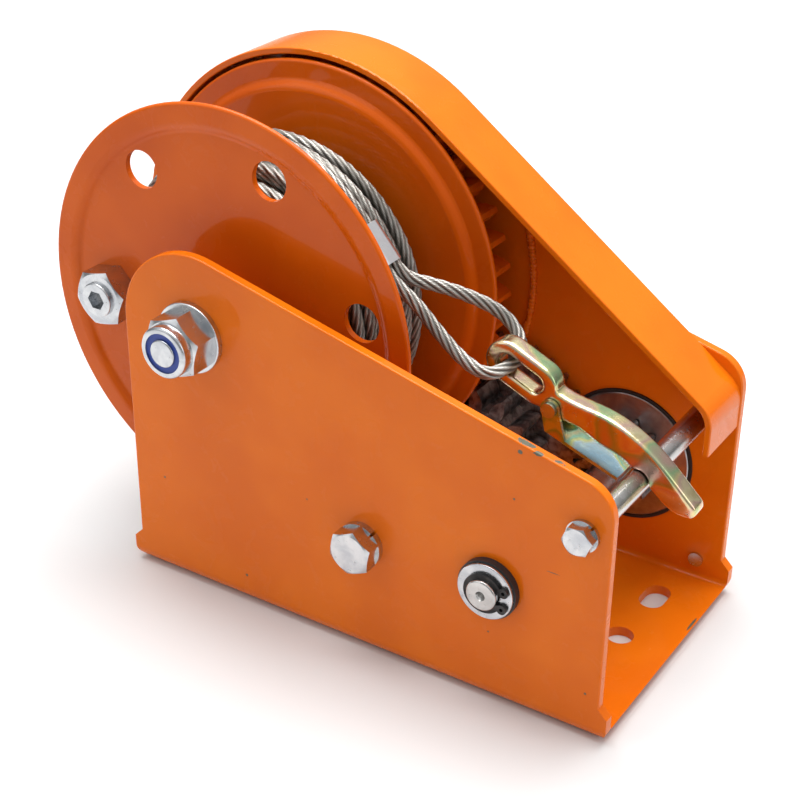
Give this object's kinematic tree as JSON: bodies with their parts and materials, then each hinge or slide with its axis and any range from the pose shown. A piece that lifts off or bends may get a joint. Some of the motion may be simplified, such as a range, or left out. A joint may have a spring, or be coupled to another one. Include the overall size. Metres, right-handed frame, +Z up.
{
  "type": "boat trailer winch",
  "caption": "Hand winch in a folded steel frame with a guarded gear train, a flanged drum of wire rope, a load brake on the crank side and a snap hook parked on the front bar.",
  "frame": {"origin": "middle of the base's underside, where the winch bolts down", "axes": "+X towards the open front where the rope leaves, +Y towards the crank side, +Z up"},
  "size_m": [0.2721, 0.1724, 0.1976],
  "materials": {
    "orange_paint": "glossy powder coat",
    "zinc": "bright zinc plate",
    "steel": "turned and oiled",
    "dark_gear": "black oxide, oiled",
    "bronze": "sintered bronze",
    "nylon": "black nylon",
    "blue_nylon": "blue nylon",
    "seal": "black rubber",
    "friction": "brake lining",
    "wire_rope": "galvanised wire rope",
    "ferrule": "pressed",
    "yellow_zinc": "iridescent yellow passivated zinc",
    "latch_zinc": "iridescent passivated zinc"
  },
  "bodies": {
    "base": {"frame": "orange_paint", "gear_guard": "orange_paint", "axle_bolt": "zinc", "axle_nut": "zinc", "axle_washer_near": "zinc", "axle_washer_far": "zinc", "counter_bolt_near": "zinc", "counter_bolt_far": "zinc", "counter_lock_washer_near": "zinc", "counter_lock_washer_far": "zinc", "tie_bolt_near": "zinc", "tie_bolt_far": "zinc", "tie_washer_near": "zinc", "tie_washer_far": "zinc", "plate_rivet": "zinc", "cover_plate": "zinc", "pawl_pin": "zinc", "spring_stop": "zinc", "latch_pin": "zinc", "tie_bar": "steel", "counter_axle": "steel", "counter_spacer": "steel", "axle_spacer_near": "steel", "axle_spacer_far": "steel", "counter_thrust": "steel", "pawl_spring": "dark_gear", "far_bush": "bronze", "near_bush": "nylon", "axle_nut_ring": "blue_nylon", "cover_seal": "seal", "rope_lead": "wire_rope", "ferrule": "ferrule", "hook": "yellow_zinc"},
    "drum": {"drum_gear": "orange_paint", "near_flange": "orange_paint", "far_flange": "orange_paint", "drum_barrel": "orange_paint", "drum_hub": "orange_paint", "drum_bush_near": "nylon", "drum_bush_far": "nylon", "anchor_screw": "zinc", "anchor_nut": "zinc", "rope_coil": "wire_rope"},
    "countershaft": {"counter_pinion": "dark_gear", "counter_gear": "dark_gear", "counter_bush": "bronze"},
    "drive": {"drive_shaft": "steel", "drive_pinion": "dark_gear", "drive_washer": "zinc", "drive_clip": "dark_gear", "pressure_disc": "zinc", "friction_disc_inner": "friction", "friction_disc_outer": "friction", "crank_hub": "zinc", "crank_nut": "zinc", "crank_washer": "zinc"},
    "ratchet": {"ratchet_wheel": "dark_gear"},
    "pawl": {"pawl": "dark_gear"},
    "latch": {"hook_latch": "latch_zinc"}
  },
  "joints": [
    {"name": "drum_spin", "type": "hinge", "parent": "base", "child": "drum", "pos_m": [-0.0705, 0, 0.111], "axis": [0, 1, 0], "continuous": true},
    {"name": "countershaft_spin", "type": "hinge", "parent": "base", "child": "countershaft", "pos_m": [0.00435, 0, 0.04775], "axis": [0, 1, 0], "continuous": true},
    {"name": "drive_spin", "type": "hinge", "parent": "base", "child": "drive", "pos_m": [0.05807, 0, 0.04962], "axis": [0, 1, 0], "continuous": true},
    {"name": "ratchet_spin", "type": "hinge", "parent": "base", "child": "ratchet", "pos_m": [0.05807, 0, 0.04962], "axis": [0, 1, 0], "continuous": true},
    {"name": "pawl_lift", "type": "hinge", "parent": "base", "child": "pawl", "pos_m": [0.05614, 0, 0.08777], "axis": [0, 1, 0], "range_deg": [0, 18], "stiffness_Nm_per_rad": 0.02, "springref_deg": -34.38, "deforming": ["pawl_spring"]},
    {"name": "latch_open", "type": "hinge", "parent": "base", "child": "latch", "pos_m": [0.058, 0, 0.1026], "axis": [0, -1, 0], "range_deg": [0, 7], "stiffness_Nm_per_rad": 0.02, "springref_deg": -34.38}
  ],
  "couplings": [
    {"joint": "countershaft_spin", "follows": "drum_spin", "ratio": -3.6667},
    {"joint": "drive_spin", "follows": "drum_spin", "ratio": 9.4722}
  ]
}
